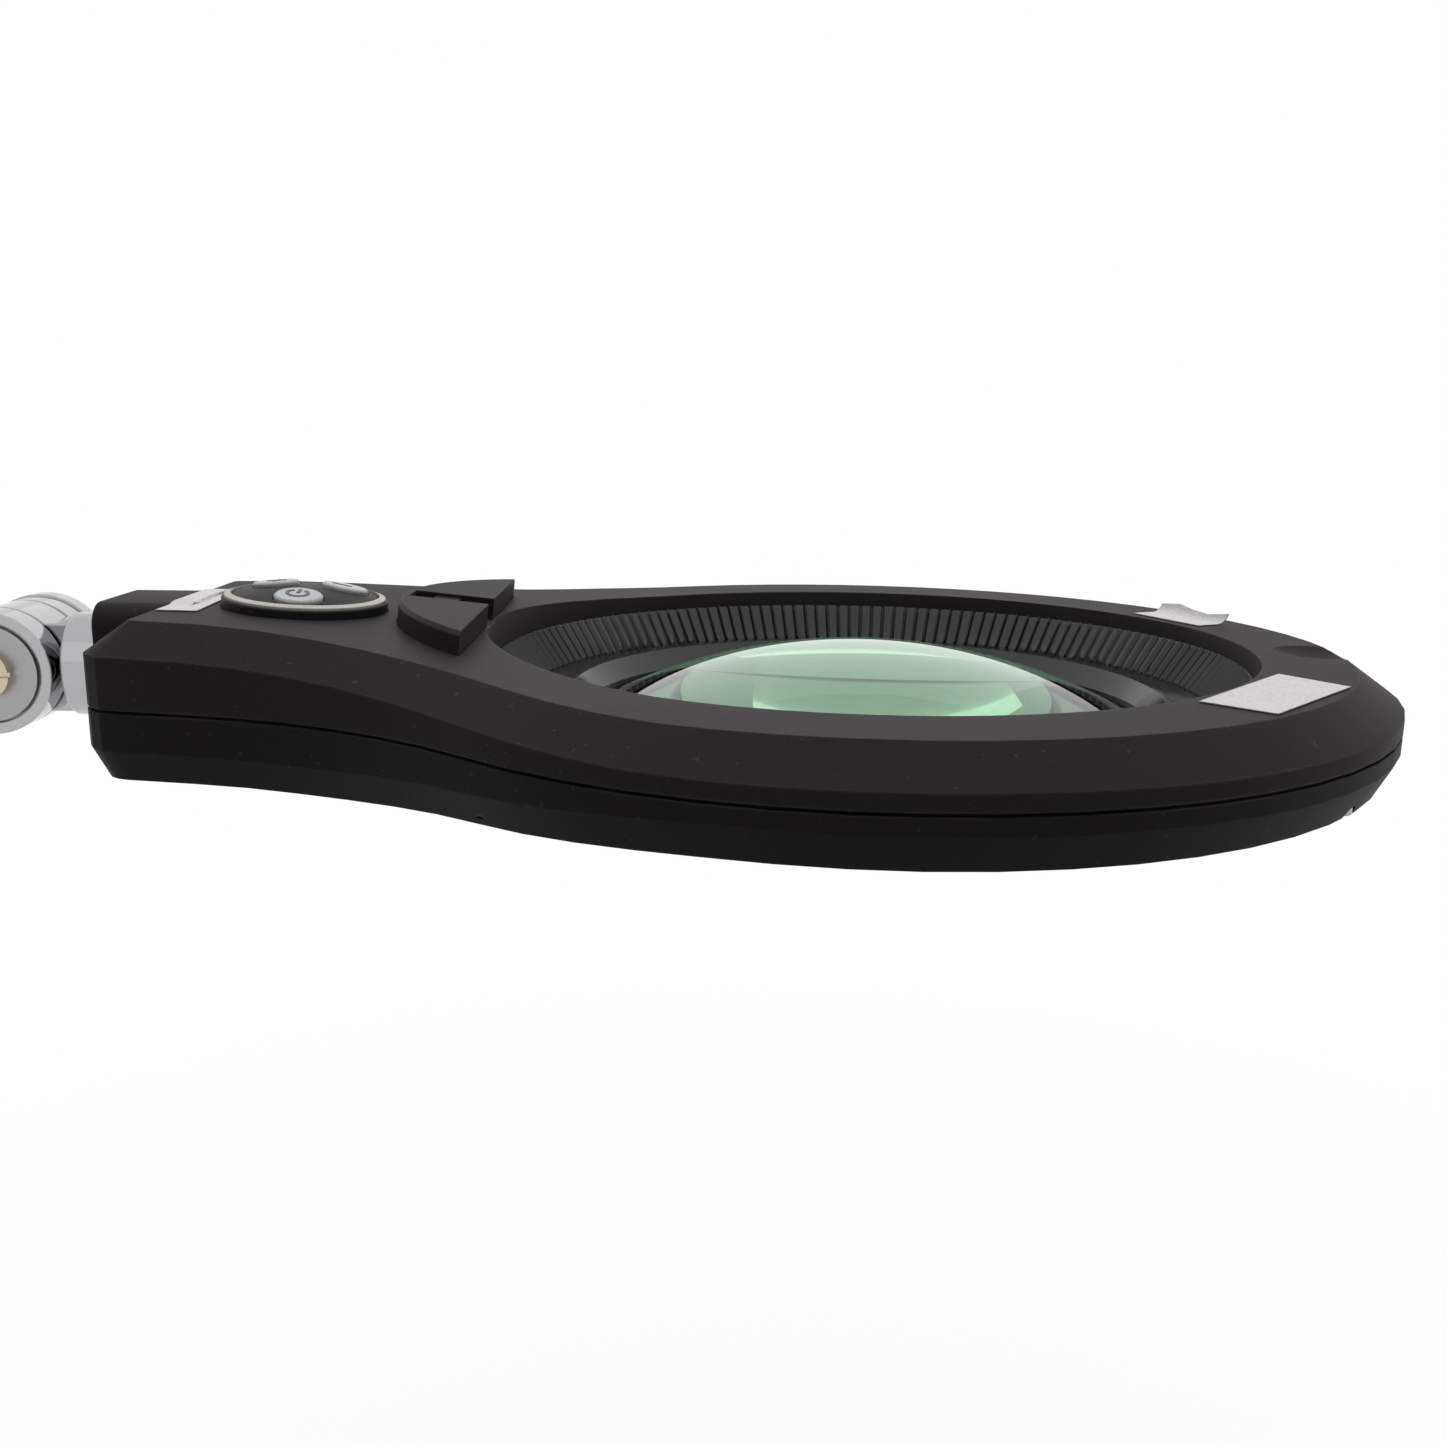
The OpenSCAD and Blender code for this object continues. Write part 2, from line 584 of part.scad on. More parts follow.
// ---- lens cartridge ------------------------------------------------------
lens_bore = lens_r + 0.3;
lip_r = 61.6;
cart_z = -5.9;
seat_z = -7.1;
rim_z = -8.7;
shelf_z = -2.4;
bead_r = 66;
bead_h = 0.8;
crest_r = well_r - 0.9;
crest_z = lip_z - 0.2;
retainer_z = rim_z - lens_edge;
thread_r = 66.4;
cart_end = -12.8;
cup_r = lens_bore + 1;
function sag(r, curve) = curve - sqrt(curve * curve - r * r);
top_sag = sag(lens_r, lens_curve_r);
under_sag = sag(lens_r, lens_under_r);
flute_slope = atan((crest_z - shelf_z) / (crest_r - shelf_r));
flute_half = 0.48 * PI * shelf_r / flutes;
flute_sink = 0.3;
flute_l = norm([crest_r - shelf_r, crest_z - shelf_z]);
module lens_ring() color([0.08, 0.08, 0.08]) at_head() {
    rotate_extrude($fn = 144) polygon([
        [well_r - turn_gap, crest_z], [well_r - turn_gap, ledge_z], [tube_r, ledge_z], [tube_r, cart_end],
        [thread_r, cart_end], [thread_r, retainer_z], [lens_bore, retainer_z], [lens_bore, seat_z],
        [lip_r, seat_z], [lip_r, cart_z], [cup_r, shelf_z + bead_h], [bead_r, shelf_z + bead_h],
        [bead_r, shelf_z], [shelf_r, shelf_z], [crest_r, crest_z]]);
    for (k = [0:flutes - 1]) rotate(k * 360 / flutes) translate([shelf_r, 0, shelf_z])
        rotate([0, -flute_slope, 0]) rotate([90, 0, 90]) linear_extrude(flute_l)
            polygon([[-flute_half, -flute_sink], [flute_half, -flute_sink], [0, flute_d]]);
}
gasket_in = lip_r + 0.2;
module lens_gasket() color([0.1, 0.1, 0.1]) at_head() rotate_extrude($fn = 144) polygon([
    [gasket_in, seat_z], [gasket_in, rim_z + top_sag - sag(gasket_in, lens_curve_r) + 0.05],
    [lens_r, rim_z + 0.05], [lens_bore, rim_z + 0.05], [lens_bore, seat_z]]);
module lens() color([0.62, 0.85, 0.72, 0.5]) at_head() rotate_extrude($fn = 144) {
    intersection() {
        translate([0, rim_z + top_sag - lens_curve_r]) circle(lens_curve_r, $fn = 360);
        translate([0, retainer_z - under_sag + lens_under_r]) circle(lens_under_r, $fn = 360);
        translate([0, -big / 2]) square([lens_r, big]);
    }
}
hold_r = lens_r - 2.2;
module lens_retainer() color([0.1, 0.1, 0.1]) at_head() rotate_extrude($fn = 144) polygon([
    [hold_r, cart_end], [thread_r, cart_end], [thread_r, retainer_z], [lens_bore, retainer_z],
    [hold_r, retainer_z - under_sag + sag(hold_r, lens_under_r) - 0.05]]);

arm_yoke();
friction_washers();
pivot_screw();
pivot_nut();
near_cap();
far_cap();
head_stem();
stem_nut();
stem_bush();
upper_housing();
lower_housing();
housing_screws();
control_panel();
panel_ring();
button_plus();
button_minus();
button_power();
button_board();
dome_switches();
driver_board();
driver_parts();
driver_screws();
lamp_lead();
lamp_board();
lamp_chips();
diffuser();
hinge_block();
lens_ring();
lens_gasket();
lens();
lens_retainer();
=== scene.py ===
"""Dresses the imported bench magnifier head: plastics, chrome, lens, button signs, labels and lamps."""

import math

import bmesh
import bpy
from mathutils import Matrix, Vector
from mathutils.bvhtree import BVHTree


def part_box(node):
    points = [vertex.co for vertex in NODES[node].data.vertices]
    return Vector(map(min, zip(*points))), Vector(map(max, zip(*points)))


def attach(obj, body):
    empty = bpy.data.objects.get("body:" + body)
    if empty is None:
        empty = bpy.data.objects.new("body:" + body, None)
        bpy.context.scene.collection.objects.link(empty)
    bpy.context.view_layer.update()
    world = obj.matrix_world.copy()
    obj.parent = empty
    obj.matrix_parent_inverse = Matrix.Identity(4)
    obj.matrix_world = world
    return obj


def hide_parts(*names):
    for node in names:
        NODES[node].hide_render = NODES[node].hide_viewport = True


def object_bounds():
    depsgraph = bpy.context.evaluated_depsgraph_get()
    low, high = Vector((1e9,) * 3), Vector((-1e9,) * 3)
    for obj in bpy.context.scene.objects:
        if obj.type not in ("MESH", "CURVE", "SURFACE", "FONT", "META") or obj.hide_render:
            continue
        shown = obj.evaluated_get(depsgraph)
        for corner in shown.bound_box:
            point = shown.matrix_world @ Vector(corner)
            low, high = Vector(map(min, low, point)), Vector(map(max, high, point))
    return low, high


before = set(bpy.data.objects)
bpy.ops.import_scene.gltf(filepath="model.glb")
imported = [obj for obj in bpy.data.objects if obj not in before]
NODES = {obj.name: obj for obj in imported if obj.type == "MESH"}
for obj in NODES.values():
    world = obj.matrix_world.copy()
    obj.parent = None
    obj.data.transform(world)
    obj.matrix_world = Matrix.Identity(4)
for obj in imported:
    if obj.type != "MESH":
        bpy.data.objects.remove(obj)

bl_info = {
    "name": "Bench Magnifier Head",
    "version": (1, 0, 0),
    "blender": (4, 5, 0),
    "location": "View3D > Sidebar > Magnifier",
    "description": "Finishes, signs, labels and lamps for a ring-shaped bench magnifier head",
    "category": "Object",
}

MM = 0.001
SHELL = (0.0250, 0.0208, 0.0228, 1.0)
# The lower shell is the same charcoal plastic as SHELL, painted darker as shade under the seam
SHELL_PAINTED_SHADE = (0.0180, 0.0158, 0.0168, 1.0)
PANEL = (0.022, 0.021, 0.022, 1.0)
# Dust colour; also painted on the edges, partly as rubbed wear and partly as a painted highlight
DUST_AND_EDGE_HIGHLIGHT = (0.16, 0.145, 0.14, 1.0)
PAPER = (0.60, 0.575, 0.59, 1.0)
SIGN_INK = (0.10, 0.10, 0.11, 1.0)
LENS_TINT = (0.14, 0.27, 0.17, 1.0)
CROWN_IOR = 1.523
LENS_ROWS = 36
# Radius of a lathe's pole, small enough for its points to merge into one
POLE = 1e-9
# Height of the ring's face above the seam
RING_FACE = 9.3 * MM
# Height from which lines fall on the shells
DROP_FROM = 0.08
# Sideways steps in mm, so that a line can't slip between two loose triangles
NUDGES = ((0.0, 0.0), (0.013, 0.009), (-0.011, 0.014), (0.008, -0.012))
# Corners of the two flat labels, and the stuck edge of the curled one, in mm from the lens axis
RING_LABEL = [(48.6, -69.8), (74.4, -42.6), (82.4, -55.4), (58.1, -79.9)]
HANDLE_LABEL = [(-147.8, -20.0), (-139.5, -20.0), (-140.8, 15.0), (-147.8, 15.0)]
CURLED_EDGE = [(74.4, 42.8), (83.0, 21.7)]


def middle(node):
    """Middle of a node's box."""
    low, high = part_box(node)
    return (low + high) / 2


LENS = middle("lens")
PIVOT = middle("pivot_screw")
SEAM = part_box("lower_housing")[1].z
CAD_BOX = [list(corner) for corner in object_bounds()]


# ---- node building -------------------------------------------------------
def new_group(name, kind, inputs, outputs):
    """An empty node group with the sockets given as (name, socket type, default)."""
    group = bpy.data.node_groups.new(name, kind)
    for label, socket_type, default in inputs:
        made = group.interface.new_socket(name=label, in_out="INPUT", socket_type=socket_type)
        if default is not None:
            made.default_value = default
    for label, socket_type in outputs:
        group.interface.new_socket(name=label, in_out="OUTPUT", socket_type=socket_type)
    return group, group.nodes.new("NodeGroupInput"), group.nodes.new("NodeGroupOutput")


def add(tree, kind, settings=None, inputs=None):
    """A node with its settings, and with inputs that are either numbers or sockets to link."""
    made = tree.nodes.new(kind)
    for key, value in (settings or {}).items():
        setattr(made, key, value)
    for key, value in (inputs or {}).items():
        if isinstance(value, bpy.types.NodeSocket):
            tree.links.new(value, made.inputs[key])
        else:
            made.inputs[key].default_value = value
    return made


def math_node(tree, operation, first, second=0.0):
    """One sum of two numbers or sockets."""
    return add(tree, "ShaderNodeMath", {"operation": operation}, {0: first, 1: second}).outputs[0]


def ramp(tree, value, low, high, start=0.0, end=1.0):
    """Maps value from low..high onto start..end and clamps it there."""
    made = add(tree, "ShaderNodeMapRange", None, {"Value": value, "From Min": low, "From Max": high,
                                                  "To Min": start, "To Max": end})
    return made.outputs["Result"]


def mix_colour(tree, factor, first, second):
    """Blend of two colours."""
    made = tree.nodes.new("ShaderNodeMix")
    made.data_type = "RGBA"
    for place, value in ((0, factor), (6, first), (7, second)):
        if isinstance(value, bpy.types.NodeSocket):
            tree.links.new(value, made.inputs[place])
        else:
            made.inputs[place].default_value = value
    return made.outputs[2]


def object_place(tree):
    """Object coordinates, in metres."""
    return add(tree, "ShaderNodeTexCoord").outputs["Object"]


def noise(tree, scale, detail=2.0, place=None):
    """Noise from 0 to 1 at a scale in cycles per metre."""
    made = add(tree, "ShaderNodeTexNoise", None,
               {"Vector": place or object_place(tree), "Scale": scale, "Detail": detail})
    return made.outputs["Fac"]


def moulded_grain():
    """Spark-eroded plastic: a fine grain, cloudy handling marks, sparse dust and lighter edges, partly
    rubbed wear and partly a painted highlight.
    """
    group, given, result = new_group(
        "Moulded grain", "ShaderNodeTree",
        [("Colour", "NodeSocketColor", (0.1, 0.1, 0.1, 1.0)), ("Dull", "NodeSocketFloat", 0.55),
         ("Grain", "NodeSocketFloat", 2600.0), ("Cloud", "NodeSocketFloat", 0.16),
         ("Dust", "NodeSocketFloat", 0.25), ("Rub and highlight", "NodeSocketFloat", 0.35)],
        [("Colour", "NodeSocketColor"), ("Roughness", "NodeSocketFloat"), ("Height", "NodeSocketFloat")])
    grain = noise(group, given.outputs["Grain"], 3.0)
    cloud = noise(group, 28.0, 4.0)
    fleck = noise(group, 620.0, 1.0)
    swing = math_node(group, "MULTIPLY", math_node(group, "SUBTRACT", cloud, 0.5), given.outputs["Cloud"])
    fine = math_node(group, "MULTIPLY", math_node(group, "SUBTRACT", grain, 0.5), 0.5)
    value = math_node(group, "ADD", math_node(group, "ADD", swing, fine), 1.0)
    toned = add(group, "ShaderNodeHueSaturation", None, {"Value": value, "Color": given.outputs["Colour"]})
    dusty = math_node(group, "MULTIPLY", ramp(group, fleck, 0.735, 0.765), given.outputs["Dust"])
    settled = mix_colour(group, dusty, toned.outputs["Color"], DUST_AND_EDGE_HIGHLIGHT)
    soft = add(group, "ShaderNodeBevel", {"samples": 6}, {"Radius": 0.7 * MM})
    sharp = add(group, "ShaderNodeNewGeometry")
    turn = add(group, "ShaderNodeVectorMath", {"operation": "DOT_PRODUCT"},
               {0: soft.outputs["Normal"], 1: sharp.outputs["Normal"]})
    # Lighter colour along the edges in cloudy patches: partly rubbed wear, partly a painted highlight
    edge = ramp(group, turn.outputs["Value"], 0.995, 0.93)
    wear_and_edge_highlight = math_node(group, "MULTIPLY", math_node(group, "MULTIPLY", edge, given.outputs["Rub and highlight"]),
                       ramp(group, cloud, 0.35, 0.65))
    with_wear_and_highlight = mix_colour(group, wear_and_edge_highlight, settled, DUST_AND_EDGE_HIGHLIGHT)
    dull = math_node(group, "ADD", given.outputs["Dull"], math_node(group, "MULTIPLY", swing, 0.6))
    group.links.new(with_wear_and_highlight, result.inputs["Colour"])
    group.links.new(dull, result.inputs["Roughness"])
    group.links.new(grain, result.inputs["Height"])
    return group


def turned_face():
    """Fine rings left by turning a disc about the pivot's axis."""
    group, given, result = new_group(
        "Turned face", "ShaderNodeTree",
        [("Dull", "NodeSocketFloat", 0.3), ("Rings", "NodeSocketFloat", 5200.0)],
        [("Roughness", "NodeSocketFloat"), ("Height", "NodeSocketFloat")])
    split = add(group, "ShaderNodeSeparateXYZ", None, {"Vector": object_place(group)})
    across = math_node(group, "SUBTRACT", split.outputs["X"], PIVOT.x)
    up = math_node(group, "SUBTRACT", split.outputs["Z"], PIVOT.z)
    radius = math_node(group, "SQRT", math_node(group, "ADD", math_node(group, "MULTIPLY", across, across),
                                                math_node(group, "MULTIPLY", up, up)))
    flat = add(group, "ShaderNodeCombineXYZ", None, {"X": radius})
    rings = noise(group, given.outputs["Rings"], 2.0, flat.outputs["Vector"])
    spread = ramp(group, rings, 0.3, 0.7, -0.06, 0.1)
    dull = math_node(group, "ADD", given.outputs["Dull"], spread)
    group.links.new(dull, result.inputs["Roughness"])
    group.links.new(rings, result.inputs["Height"])
    return group


def polish_haze():
    """Light smears and pin marks on plated or glossy faces."""
    group, given, result = new_group(
        "Polish haze", "ShaderNodeTree",
        [("Dull", "NodeSocketFloat", 0.08), ("Smear", "NodeSocketFloat", 0.12)],
        [("Roughness", "NodeSocketFloat"), ("Height", "NodeSocketFloat")])
    smear = ramp(group, noise(group, 70.0, 5.0), 0.45, 0.75)
    pin = ramp(group, noise(group, 1500.0, 1.0), 0.7, 0.74)
    spread = math_node(group, "MULTIPLY", smear, given.outputs["Smear"])
    group.links.new(math_node(group, "ADD", given.outputs["Dull"], spread), result.inputs["Roughness"])
    group.links.new(pin, result.inputs["Height"])
    return group


GROUPS = {}


def shared(maker):
    """The node group that maker builds, made once."""
    if maker.__name__ not in GROUPS:
        GROUPS[maker.__name__] = maker()
    return GROUPS[maker.__name__]


def principled(name, colour, roughness=0.5, **sockets):
    """A material with plain values on its shader."""
    material = bpy.data.materials.new(name)
    material.use_nodes = True
    shader = material.node_tree.nodes["Principled BSDF"]
    shader.inputs["Base Color"].default_value = colour
    shader.inputs["Roughness"].default_value = roughness
    for key, value in sockets.items():
        shader.inputs[key.replace("_", " ").title().replace("Ior", "IOR")].default_value = value
    material.diffuse_color = colour
    return material, shader


def bump_into(tree, shader, height, strength, distance, rounding=0.0):
    """Feeds a height into the shader's normal, with edges softened by rounding."""
    bump = add(tree, "ShaderNodeBump", None, {"Height": height, "Strength": strength, "Distance": distance})
    if rounding:
        soft = add(tree, "ShaderNodeBevel", {"samples": 6}, {"Radius": rounding})
        tree.links.new(soft.outputs["Normal"], bump.inputs["Normal"])
    tree.links.new(bump.outputs["Normal"], shader.inputs["Normal"])


# rub sets the lighter edges, partly rubbed wear and partly a painted highlight
def moulded(name, colour, dull=0.55, grain=2600.0, cloud=0.16, dust=0.12, rub_and_highlight=0.22, bump=0.35, sheen=0.03):
    """A moulded plastic; sheen is how strongly it mirrors, against 0.5 for a bare polished one."""
    material, shader = principled(name, colour, dull, specular_ior_level=sheen)
    tree = material.node_tree
    look = add(tree, "ShaderNodeGroup", {"node_tree": shared(moulded_grain)},
               {"Colour": colour, "Dull": dull, "Grain": grain, "Cloud": cloud, "Dust": dust, "Rub and highlight": rub_and_highlight})
    tree.links.new(look.outputs["Colour"], shader.inputs["Base Color"])
    tree.links.new(look.outputs["Roughness"], shader.inputs["Roughness"])
    bump_into(tree, shader, look.outputs["Height"], bump, 0.12 * MM, 0.45 * MM)
    return material


def plated(name, colour, dull=0.07, smear=0.1, metallic=1.0, rounding=0.5):
    """A polished, plated or glossy finish."""
    material, shader = principled(name, colour, dull, metallic=metallic)
    tree = material.node_tree
    look = add(tree, "ShaderNodeGroup", {"node_tree": shared(polish_haze)}, {"Dull": dull, "Smear": smear})
    tree.links.new(look.outputs["Roughness"], shader.inputs["Roughness"])
    bump_into(tree, shader, look.outputs["Height"], 0.08, 0.05 * MM, rounding * MM)
    return material


def turned(name, colour, dull):
    """A turned metal face."""
    material, shader = principled(name, colour, dull, metallic=1.0)
    tree = material.node_tree
    look = add(tree, "ShaderNodeGroup", {"node_tree": shared(turned_face)}, {"Dull": dull})
    tree.links.new(look.outputs["Roughness"], shader.inputs["Roughness"])
    bump_into(tree, shader, look.outputs["Height"], 0.25, 0.05 * MM, 0.3 * MM)
    return material


def dress(node, material, sharp=32.0):
    """Gives a CAD node its material and smooth shading between its real edges."""
    piece = NODES[node]
    piece.data.materials.clear()
    piece.data.materials.append(material)
    piece.data.polygons.foreach_set("use_smooth", [True] * len(piece.data.polygons))
    piece.data.set_sharp_from_angle(angle=math.radians(sharp))


# ---- mesh building -------------------------------------------------------
def piece_from(name, body, material, points, faces, smooth=True, sharp=35.0, weld=1e-7):
    """A new object that rides on a body, smooth between edges sharper than the angle given."""
    mesh = bpy.data.meshes.new(name)
    mesh.from_pydata([tuple(p) for p in points], [], faces)
    work = bmesh.new()
    work.from_mesh(mesh)
    bmesh.ops.remove_doubles(work, verts=work.verts, dist=weld)
    bmesh.ops.recalc_face_normals(work, faces=work.faces)
    work.to_mesh(mesh)
    work.free()
    mesh.materials.append(material)
    if smooth:
        mesh.polygons.foreach_set("use_smooth", [True] * len(mesh.polygons))
        mesh.set_sharp_from_angle(angle=math.radians(sharp))
    made = bpy.data.objects.new(name, mesh)
    bpy.context.scene.collection.objects.link(made)
    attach(made, body)
    return made


def skin(node, body, material, sharp):
    """A welded copy of a moulded CAD piece, shaded smoothly, that stands in for it."""
    source = NODES[node].data
    points = [v.co.copy() for v in source.vertices]
    faces = [list(p.vertices) for p in source.polygons]
    made = piece_from(node + "_skin", body, material, points, faces, sharp=sharp, weld=2e-6)
    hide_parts(node)


def sag(curve, radius):
    """How far a face curved to one radius has fallen at another radius from its middle."""
    return curve - math.sqrt(curve * curve - radius * radius)


def lathe(profile, steps, centre):
    """Points and faces of a profile of (radius, height) turned about a vertical axis."""
    points, faces = [], []
    for radius, height in profile:
        for k in range(steps):
            angle = math.tau * k / steps
            points.append(centre + Vector((radius * math.cos(angle), radius * math.sin(angle), height)))
    for row in range(len(profile) - 1):
        for k in range(steps):
            n = (k + 1) % steps
            faces.append([row * steps + k, row * steps + n, (row + 1) * steps + n, (row + 1) * steps + k])
    return points, faces


def from_lens(places):
    """Points on the plan from millimetres about the lens axis."""
    return [(LENS.x + x * MM, LENS.y + y * MM) for x, y in places]


def surface_of(*nodes):
    """A tree for finding points on CAD nodes."""
    points, faces = [], []
    for node in nodes:
        start = len(points)
        points += [v.co.copy() for v in NODES[node].data.vertices]
        faces += [[start + i for i in p.vertices] for p in NODES[node].data.polygons]
    return BVHTree.FromPolygons(points, faces)


def drop(tree, x, y):
    """The point and normal where a line falling from above meets the surface."""
    down = Vector((0, 0, -1))
    found = []
    for aside, across in NUDGES:
        origin = Vector((x + aside * MM, y + across * MM, DROP_FROM))
        hit, normal, _, _ = tree.ray_cast(origin, down)
        if hit:
            found.append((hit.z, normal))
    if not found:
        raise ValueError(f"nothing below {x:.4f}, {y:.4f}")
    height, normal = max(found, key=lambda each: each[0])
    return Vector((x, y, height)), normal


def plate_between(lower, upper, rows, columns):
    """Faces of a thin closed plate made of two grids of points."""
    size = rows * columns
    faces = []
    for r in range(rows - 1):
        for c in range(columns - 1):
            quad = [r * columns + c, r * columns + c + 1, (r + 1) * columns + c + 1, (r + 1) * columns + c]
            faces.append([i + size for i in quad])
            faces.append(quad[::-1])
    rim = [c for c in range(columns)] + [r * columns + columns - 1 for r in range(1, rows)]
    rim += [(rows - 1) * columns + c for c in range(columns - 2, -1, -1)]
    rim += [r * columns for r in range(rows - 2, 0, -1)]
    for i, here in enumerate(rim):
        there = rim[(i + 1) % len(rim)]
        faces.append([here, there, there + size, here + size])
    return lower + upper, faces


# ---- settings ------------------------------------------------------------
class ShellSettings(bpy.types.PropertyGroup):
    """The moulded shells and the hinge block."""
    dull: bpy.props.FloatProperty(name="Dullness", description="Roughness of the plastic", default=0.52)
    grain: bpy.props.FloatProperty(name="Grain", description="Grain cycles per metre", default=2600.0)


class LensSettings(bpy.types.PropertyGroup):
    """The lens and its cartridge."""
    upper_curve: bpy.props.FloatProperty(
        name="Upper curve", description="Radius of the upper face", default=0.130, unit="LENGTH")
    lower_curve: bpy.props.FloatProperty(
        name="Lower curve", description="Radius of the lower face", default=0.400, unit="LENGTH")
    steps: bpy.props.IntProperty(name="Steps", description="Facets round the lens", default=160)


class SignSettings(bpy.types.PropertyGroup):
    """The signs on the buttons."""
    reach: bpy.props.FloatProperty(
        name="Reach", description="Half length of a bar", default=0.0021, unit="LENGTH")
    stroke: bpy.props.FloatProperty(
        name="Stroke", description="Width of a line", default=0.0007, unit="LENGTH")
    raised: bpy.props.FloatProperty(
        name="Raised", description="Height of a sign", default=0.00015, unit="LENGTH")


class LabelSettings(bpy.types.PropertyGroup):
    """The blank paper labels."""
    thick: bpy.props.FloatProperty(
        name="Thickness", description="Paper thickness", default=0.00018, unit="LENGTH")
    lift: bpy.props.FloatProperty(
        name="Lift", description="Height above the plastic", default=0.00012, unit="LENGTH")
    curl: bpy.props.FloatProperty(
        name="Curl", description="Radius of the curled label", default=0.0032, unit="LENGTH")


class LampSettings(bpy.types.PropertyGroup):
    """The lamps under the ring."""
    count: bpy.props.IntProperty(name="Lamps", description="Number of lamp chips", default=60)
    dot: bpy.props.FloatProperty(
        name="Dot", description="Radius of a phosphor dot", default=0.0011, unit="LENGTH")
    proud: bpy.props.FloatProperty(
        name="Proud", description="Height of a dot", default=0.0002, unit="LENGTH")


class StageSettings(bpy.types.PropertyGroup):
    """The floor, the lights and the camera."""
    back: bpy.props.FloatProperty(
        name="Back", description="Camera distance across the head", default=0.2975, unit="LENGTH")
    aside: bpy.props.FloatProperty(
        name="Aside", description="Camera offset towards the knuckle", default=0.0418, unit="LENGTH")
    height: bpy.props.FloatProperty(
        name="Height", description="Camera height above the ring's face", default=0.04635, unit="LENGTH")
    yaw: bpy.props.FloatProperty(name="Yaw", description="Turn towards the tip, degrees", default=1.97)
    pitch: bpy.props.FloatProperty(name="Pitch", description="Look down, degrees", default=12.49)
    roll: bpy.props.FloatProperty(name="Roll", description="Camera roll, degrees", default=0.83)
    lens: bpy.props.FloatProperty(name="Lens", description="Focal length, mm", default=33.83)
    floor: bpy.props.FloatProperty(
        name="Floor", description="Gap under the head", default=0.31, unit="LENGTH")


# ---- operators -----------------------------------------------------------
class MAGNIFIER_OT_shells(bpy.types.Operator):
    """Charcoal moulded shells, hinge block and case screws"""
    bl_idname = "magnifier.shells"
    bl_label = "Shells"

    def execute(self, context):
        given = context.scene.magnifier_shell
        top = moulded("Charcoal shell", SHELL, given.dull, given.grain)
        # Same charcoal plastic as the upper shell, painted darker as shade for the lower shell
        shell_with_painted_shade = moulded("Lower shell with painted shade", SHELL_PAINTED_SHADE, given.dull, given.grain, rub_and_highlight=0.2)
        skin("upper_housing", "head", top, 18.0)
        dress("hinge_block", top)
        skin("lower_housing", "head", shell_with_painted_shade, 18.0)
        zinc = plated("Zinc screw", (0.36, 0.36, 0.37, 1.0), 0.32)
        for node in ("housing_screws", "driver_screws", "pivot_nut"):
            dress(node, zinc)
        return {"FINISHED"}


class MAGNIFIER_OT_panel(bpy.types.Operator):
    """Domed control panel with its pale line and soft grey buttons"""
    bl_idname = "magnifier.panel"
    bl_label = "Control panel"

    def execute(self, context):
        black = moulded("Satin black panel", PANEL, 0.42, 3400.0, dust=0.2, rub_and_highlight=0.1)
        skin("control_panel", "head", black, 28.0)
        dress("panel_ring", moulded("Pale printed line", (0.50, 0.48, 0.44, 1.0), 0.6, rub_and_highlight=0.0), 40)
        grey = moulded("Light grey button", (0.47, 0.48, 0.49, 1.0), 0.5, 2200.0, dust=0.05, rub_and_highlight=0.0)
        for node in ("button_plus", "button_minus", "button_power"):
            dress(node, grey, 50)
        return {"FINISHED"}


class MAGNIFIER_OT_signs(bpy.types.Operator):
    """Plus, minus and power signs raised on the buttons"""
    bl_idname = "magnifier.signs"
    bl_label = "Button signs"

    def bar(self, half_long, half_wide, turn, shift=0.0):
        corners = [(-half_long, -half_wide), (half_long, -half_wide),
                   (half_long, half_wide), (-half_long, half_wide)]
        spin = Matrix.Rotation(turn, 2)
        return [spin @ Vector((x + shift, y)) for x, y in corners]

    def arc(self, radius, half_wide, gap, steps=28):
        start, end = math.pi / 2 + gap, math.pi / 2 + math.tau - gap
        angles = [start + (end - start) * k / steps for k in range(steps + 1)]
        outer = [Vector((math.cos(a), math.sin(a))) * (radius + half_wide) for a in angles]
        inner = [Vector((math.cos(a), math.sin(a))) * (radius - half_wide) for a in angles]
        return outer, inner

    def raise_on(self, node, strips, ink, given):
        """Extrudes flat strips of four corners on the top of a button."""
        tree = surface_of(node)
        centre = middle(node)
        top, normal = drop(tree, centre.x, centre.y)
        along = (Vector((1, 0, 0)) - normal * normal.x).normalized()
        across = normal.cross(along)
        points, faces = [], []
        for strip in strips:
            start = len(points)
            for height in (-given.raised, given.raised):
                points += [top + along * p.x + across * p.y + normal * height for p in strip]
            faces += [[start + i for i in quad] for quad in (
                (3, 2, 1, 0), (4, 5, 6, 7), (0, 1, 5, 4), (1, 2, 6, 5), (2, 3, 7, 6), (3, 0, 4, 7))]
        body = node.split("_")[1] + "_button"
        piece_from(node.replace("button", "sign"), body, ink, points, faces, smooth=False)

    def execute(self, context):
        given = context.scene.magnifier_sign
        ink = principled("Sign ink", SIGN_INK, 0.6)[0]
        half = given.stroke / 2
        level = self.bar(given.reach, half, 0.0)
        upright = self.bar((given.reach - half) / 2, half, math.pi / 2, (given.reach + half) / 2)
        downright = self.bar((given.reach - half) / 2, half, -math.pi / 2, (given.reach + half) / 2)
        self.raise_on("button_plus", [level, upright, downright], ink, given)
        self.raise_on("button_minus", [level], ink, given)
        outer, inner = self.arc(given.reach, half, math.radians(32))
        loop = [[outer[k], outer[k + 1], inner[k + 1], inner[k]] for k in range(len(outer) - 1)]
        stem = self.bar(given.reach * 0.55, half, math.pi / 2, given.reach * 0.62)
        self.raise_on("button_power", loop + [stem], ink, given)
        return {"FINISHED"}


